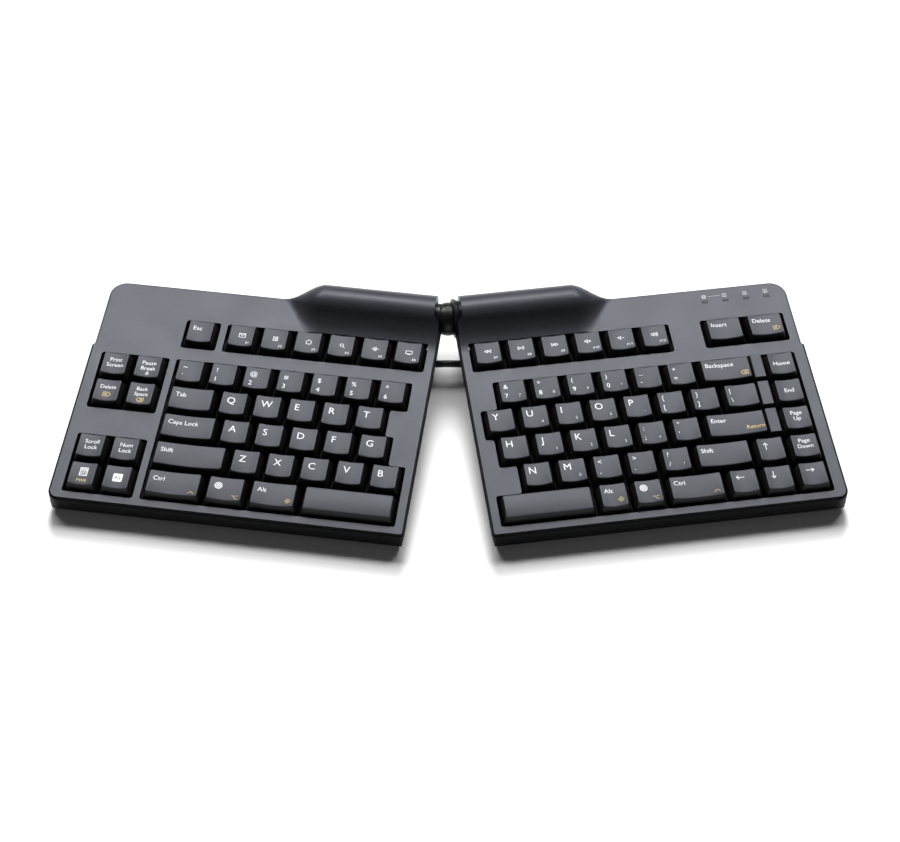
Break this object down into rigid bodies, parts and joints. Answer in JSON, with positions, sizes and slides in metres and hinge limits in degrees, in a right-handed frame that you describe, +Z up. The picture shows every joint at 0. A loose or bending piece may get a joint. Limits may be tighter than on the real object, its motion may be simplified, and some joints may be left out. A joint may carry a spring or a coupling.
{
  "type": "ergonomic split keyboard",
  "caption": "Compact computer keyboard split into two sloping key halves on a lockable two-way ball joint, with its own cable, battery bay and rubber feet.",
  "frame": {"origin": "centre of the bounding box in plan, on the desk that the feet stand on", "axes": "+X to the right of the person typing, +Y to the rear, +Z up"},
  "size_m": [0.4314, 0.1772, 0.0378],
  "materials": {
    "keycap": "fine matte, charcoal grey",
    "cover": "satin, dark charcoal",
    "tray": "smooth satin, black",
    "filler": "fine matte, charcoal grey",
    "key_frame": "matte, black",
    "dome_rubber": "soft grey silicone",
    "membrane": "satin film",
    "circuit_board": "solder-masked board",
    "lens": "smoked, glossy",
    "foot_rubber": "matte black",
    "screw_steel": "blackened steel",
    "joint_plastic": "satin black, glass-filled",
    "lever_plastic": "satin black",
    "core_steel": "turned steel",
    "pin_steel": "ground steel",
    "cable_jacket": "smooth black jacket",
    "cell_wrap": "printed film wrap"
  },
  "bodies": {
    "left_half": {"left_top_cover": "cover", "left_bottom_tray": "tray", "left_key_frame": "key_frame", "left_dome_sheet": "dome_rubber", "left_membrane": "membrane", "left_link_board": "circuit_board", "left_feet": "foot_rubber", "left_screws": "screw_steel", "ball_stud": "joint_plastic", "bridge_cable": "cable_jacket"},
    "swivel_core": {"swivel_core": "core_steel", "tent_pin": "pin_steel"},
    "right_half": {"right_top_cover": "cover", "right_bottom_tray": "tray", "right_key_frame": "key_frame", "right_dome_sheet": "dome_rubber", "right_membrane": "membrane", "controller_board": "circuit_board", "led_board": "circuit_board", "status_lenses": "lens", "filler_bars": "filler", "right_feet": "foot_rubber", "right_screws": "screw_steel", "socket_cup": "joint_plastic", "battery_cells": "cell_wrap"},
    "lock_lever": {"lock_lever": "lever_plastic", "clamp_rod": "pin_steel"},
    "battery_door": {"battery_door": "tray"},
    "left_upper_keys": {"left_upper_keys": "keycap"},
    "left_outer_keys": {"left_outer_keys": "keycap"},
    "right_upper_keys": {"right_upper_keys": "keycap"},
    "right_outer_keys": {"right_outer_keys": "keycap"},
    "left_space_bar": {"left_space_bar": "keycap"},
    "key_z": {"key_z": "keycap"},
    "key_x": {"key_x": "keycap"},
    "key_c": {"key_c": "keycap"},
    "key_v": {"key_v": "keycap"},
    "key_b": {"key_b": "keycap"},
    "key_a": {"key_a": "keycap"},
    "key_s": {"key_s": "keycap"},
    "key_d": {"key_d": "keycap"},
    "key_f": {"key_f": "keycap"},
    "key_g": {"key_g": "keycap"},
    "key_q": {"key_q": "keycap"},
    "key_w": {"key_w": "keycap"},
    "key_e": {"key_e": "keycap"},
    "key_r": {"key_r": "keycap"},
    "key_t": {"key_t": "keycap"},
    "right_space_bar": {"right_space_bar": "keycap"},
    "key_n": {"key_n": "keycap"},
    "key_m": {"key_m": "keycap"},
    "key_h": {"key_h": "keycap"},
    "key_j": {"key_j": "keycap"},
    "key_k": {"key_k": "keycap"},
    "key_l": {"key_l": "keycap"},
    "key_y": {"key_y": "keycap"},
    "key_u": {"key_u": "keycap"},
    "key_i": {"key_i": "keycap"},
    "key_o": {"key_o": "keycap"},
    "key_p": {"key_p": "keycap"}
  },
  "joints": [
    {"name": "splay", "type": "hinge", "parent": "left_half", "child": "swivel_core", "pos_m": [0, 0.06009, 0.0252], "axis": [0, 0, 1], "range_deg": [-16, 14], "deforming": ["bridge_cable"]},
    {"name": "tent", "type": "hinge", "parent": "swivel_core", "child": "right_half", "pos_m": [0, 0.06009, 0.0252], "axis": [-0.1386, 0.9865, 0.0872], "range_deg": [0, 30], "deforming": ["bridge_cable"]},
    {"name": "lock_lever_turn", "type": "hinge", "parent": "left_half", "child": "lock_lever", "pos_m": [0, 0.06009, 0.0252], "axis": [0.9903, -0.1392, 0], "range_deg": [0, 30]},
    {"name": "battery_door_slide", "type": "slide", "parent": "right_half", "child": "battery_door", "axis": [-0.1392, 0.9903, 0], "range_m": [0, 0.018]},
    {"name": "left_upper_keys_press", "type": "slide", "parent": "left_half", "child": "left_upper_keys", "axis": [0.0121, 0.0863, -0.9962], "range_m": [0, 0.0035], "stiffness_N_per_m": 2100, "springref_m": -0.001, "deforming": ["left_dome_sheet"]},
    {"name": "left_outer_keys_press", "type": "slide", "parent": "left_half", "child": "left_outer_keys", "axis": [0.0121, 0.0863, -0.9962], "range_m": [0, 0.0035], "stiffness_N_per_m": 2100, "springref_m": -0.001, "deforming": ["left_dome_sheet"]},
    {"name": "right_upper_keys_press", "type": "slide", "parent": "right_half", "child": "right_upper_keys", "axis": [-0.0121, 0.0863, -0.9962], "range_m": [0, 0.0035], "stiffness_N_per_m": 2250, "springref_m": -0.001, "deforming": ["right_dome_sheet"]},
    {"name": "right_outer_keys_press", "type": "slide", "parent": "right_half", "child": "right_outer_keys", "axis": [-0.0121, 0.0863, -0.9962], "range_m": [0, 0.0035], "stiffness_N_per_m": 3150, "springref_m": -0.001, "deforming": ["right_dome_sheet"]},
    {"name": "left_space_bar_press", "type": "slide", "parent": "left_half", "child": "left_space_bar", "axis": [0.0121, 0.0863, -0.9962], "range_m": [0, 0.0035], "stiffness_N_per_m": 150, "springref_m": -0.001, "deforming": ["left_dome_sheet"]},
    {"name": "key_z_press", "type": "slide", "parent": "left_half", "child": "key_z", "axis": [0.0121, 0.0863, -0.9962], "range_m": [0, 0.0035], "stiffness_N_per_m": 150, "springref_m": -0.001, "deforming": ["left_dome_sheet"]},
    {"name": "key_x_press", "type": "slide", "parent": "left_half", "child": "key_x", "axis": [0.0121, 0.0863, -0.9962], "range_m": [0, 0.0035], "stiffness_N_per_m": 150, "springref_m": -0.001, "deforming": ["left_dome_sheet"]},
    {"name": "key_c_press", "type": "slide", "parent": "left_half", "child": "key_c", "axis": [0.0121, 0.0863, -0.9962], "range_m": [0, 0.0035], "stiffness_N_per_m": 150, "springref_m": -0.001, "deforming": ["left_dome_sheet"]},
    {"name": "key_v_press", "type": "slide", "parent": "left_half", "child": "key_v", "axis": [0.0121, 0.0863, -0.9962], "range_m": [0, 0.0035], "stiffness_N_per_m": 150, "springref_m": -0.001, "deforming": ["left_dome_sheet"]},
    {"name": "key_b_press", "type": "slide", "parent": "left_half", "child": "key_b", "axis": [0.0121, 0.0863, -0.9962], "range_m": [0, 0.0035], "stiffness_N_per_m": 150, "springref_m": -0.001, "deforming": ["left_dome_sheet"]},
    {"name": "key_a_press", "type": "slide", "parent": "left_half", "child": "key_a", "axis": [0.0121, 0.0863, -0.9962], "range_m": [0, 0.0035], "stiffness_N_per_m": 150, "springref_m": -0.001, "deforming": ["left_dome_sheet"]},
    {"name": "key_s_press", "type": "slide", "parent": "left_half", "child": "key_s", "axis": [0.0121, 0.0863, -0.9962], "range_m": [0, 0.0035], "stiffness_N_per_m": 150, "springref_m": -0.001, "deforming": ["left_dome_sheet"]},
    {"name": "key_d_press", "type": "slide", "parent": "left_half", "child": "key_d", "axis": [0.0121, 0.0863, -0.9962], "range_m": [0, 0.0035], "stiffness_N_per_m": 150, "springref_m": -0.001, "deforming": ["left_dome_sheet"]},
    {"name": "key_f_press", "type": "slide", "parent": "left_half", "child": "key_f", "axis": [0.0121, 0.0863, -0.9962], "range_m": [0, 0.0035], "stiffness_N_per_m": 150, "springref_m": -0.001, "deforming": ["left_dome_sheet"]},
    {"name": "key_g_press", "type": "slide", "parent": "left_half", "child": "key_g", "axis": [0.0121, 0.0863, -0.9962], "range_m": [0, 0.0035], "stiffness_N_per_m": 150, "springref_m": -0.001, "deforming": ["left_dome_sheet"]},
    {"name": "key_q_press", "type": "slide", "parent": "left_half", "child": "key_q", "axis": [0.0121, 0.0863, -0.9962], "range_m": [0, 0.0035], "stiffness_N_per_m": 150, "springref_m": -0.001, "deforming": ["left_dome_sheet"]},
    {"name": "key_w_press", "type": "slide", "parent": "left_half", "child": "key_w", "axis": [0.0121, 0.0863, -0.9962], "range_m": [0, 0.0035], "stiffness_N_per_m": 150, "springref_m": -0.001, "deforming": ["left_dome_sheet"]},
    {"name": "key_e_press", "type": "slide", "parent": "left_half", "child": "key_e", "axis": [0.0121, 0.0863, -0.9962], "range_m": [0, 0.0035], "stiffness_N_per_m": 150, "springref_m": -0.001, "deforming": ["left_dome_sheet"]},
    {"name": "key_r_press", "type": "slide", "parent": "left_half", "child": "key_r", "axis": [0.0121, 0.0863, -0.9962], "range_m": [0, 0.0035], "stiffness_N_per_m": 150, "springref_m": -0.001, "deforming": ["left_dome_sheet"]},
    {"name": "key_t_press", "type": "slide", "parent": "left_half", "child": "key_t", "axis": [0.0121, 0.0863, -0.9962], "range_m": [0, 0.0035], "stiffness_N_per_m": 150, "springref_m": -0.001, "deforming": ["left_dome_sheet"]},
    {"name": "right_space_bar_press", "type": "slide", "parent": "right_half", "child": "right_space_bar", "axis": [-0.0121, 0.0863, -0.9962], "range_m": [0, 0.0035], "stiffness_N_per_m": 150, "springref_m": -0.001, "deforming": ["right_dome_sheet"]},
    {"name": "key_n_press", "type": "slide", "parent": "right_half", "child": "key_n", "axis": [-0.0121, 0.0863, -0.9962], "range_m": [0, 0.0035], "stiffness_N_per_m": 150, "springref_m": -0.001, "deforming": ["right_dome_sheet"]},
    {"name": "key_m_press", "type": "slide", "parent": "right_half", "child": "key_m", "axis": [-0.0121, 0.0863, -0.9962], "range_m": [0, 0.0035], "stiffness_N_per_m": 150, "springref_m": -0.001, "deforming": ["right_dome_sheet"]},
    {"name": "key_h_press", "type": "slide", "parent": "right_half", "child": "key_h", "axis": [-0.0121, 0.0863, -0.9962], "range_m": [0, 0.0035], "stiffness_N_per_m": 150, "springref_m": -0.001, "deforming": ["right_dome_sheet"]},
    {"name": "key_j_press", "type": "slide", "parent": "right_half", "child": "key_j", "axis": [-0.0121, 0.0863, -0.9962], "range_m": [0, 0.0035], "stiffness_N_per_m": 150, "springref_m": -0.001, "deforming": ["right_dome_sheet"]},
    {"name": "key_k_press", "type": "slide", "parent": "right_half", "child": "key_k", "axis": [-0.0121, 0.0863, -0.9962], "range_m": [0, 0.0035], "stiffness_N_per_m": 150, "springref_m": -0.001, "deforming": ["right_dome_sheet"]},
    {"name": "key_l_press", "type": "slide", "parent": "right_half", "child": "key_l", "axis": [-0.0121, 0.0863, -0.9962], "range_m": [0, 0.0035], "stiffness_N_per_m": 150, "springref_m": -0.001, "deforming": ["right_dome_sheet"]},
    {"name": "key_y_press", "type": "slide", "parent": "right_half", "child": "key_y", "axis": [-0.0121, 0.0863, -0.9962], "range_m": [0, 0.0035], "stiffness_N_per_m": 150, "springref_m": -0.001, "deforming": ["right_dome_sheet"]},
    {"name": "key_u_press", "type": "slide", "parent": "right_half", "child": "key_u", "axis": [-0.0121, 0.0863, -0.9962], "range_m": [0, 0.0035], "stiffness_N_per_m": 150, "springref_m": -0.001, "deforming": ["right_dome_sheet"]},
    {"name": "key_i_press", "type": "slide", "parent": "right_half", "child": "key_i", "axis": [-0.0121, 0.0863, -0.9962], "range_m": [0, 0.0035], "stiffness_N_per_m": 150, "springref_m": -0.001, "deforming": ["right_dome_sheet"]},
    {"name": "key_o_press", "type": "slide", "parent": "right_half", "child": "key_o", "axis": [-0.0121, 0.0863, -0.9962], "range_m": [0, 0.0035], "stiffness_N_per_m": 150, "springref_m": -0.001, "deforming": ["right_dome_sheet"]},
    {"name": "key_p_press", "type": "slide", "parent": "right_half", "child": "key_p", "axis": [-0.0121, 0.0863, -0.9962], "range_m": [0, 0.0035], "stiffness_N_per_m": 150, "springref_m": -0.001, "deforming": ["right_dome_sheet"]}
  ]
}
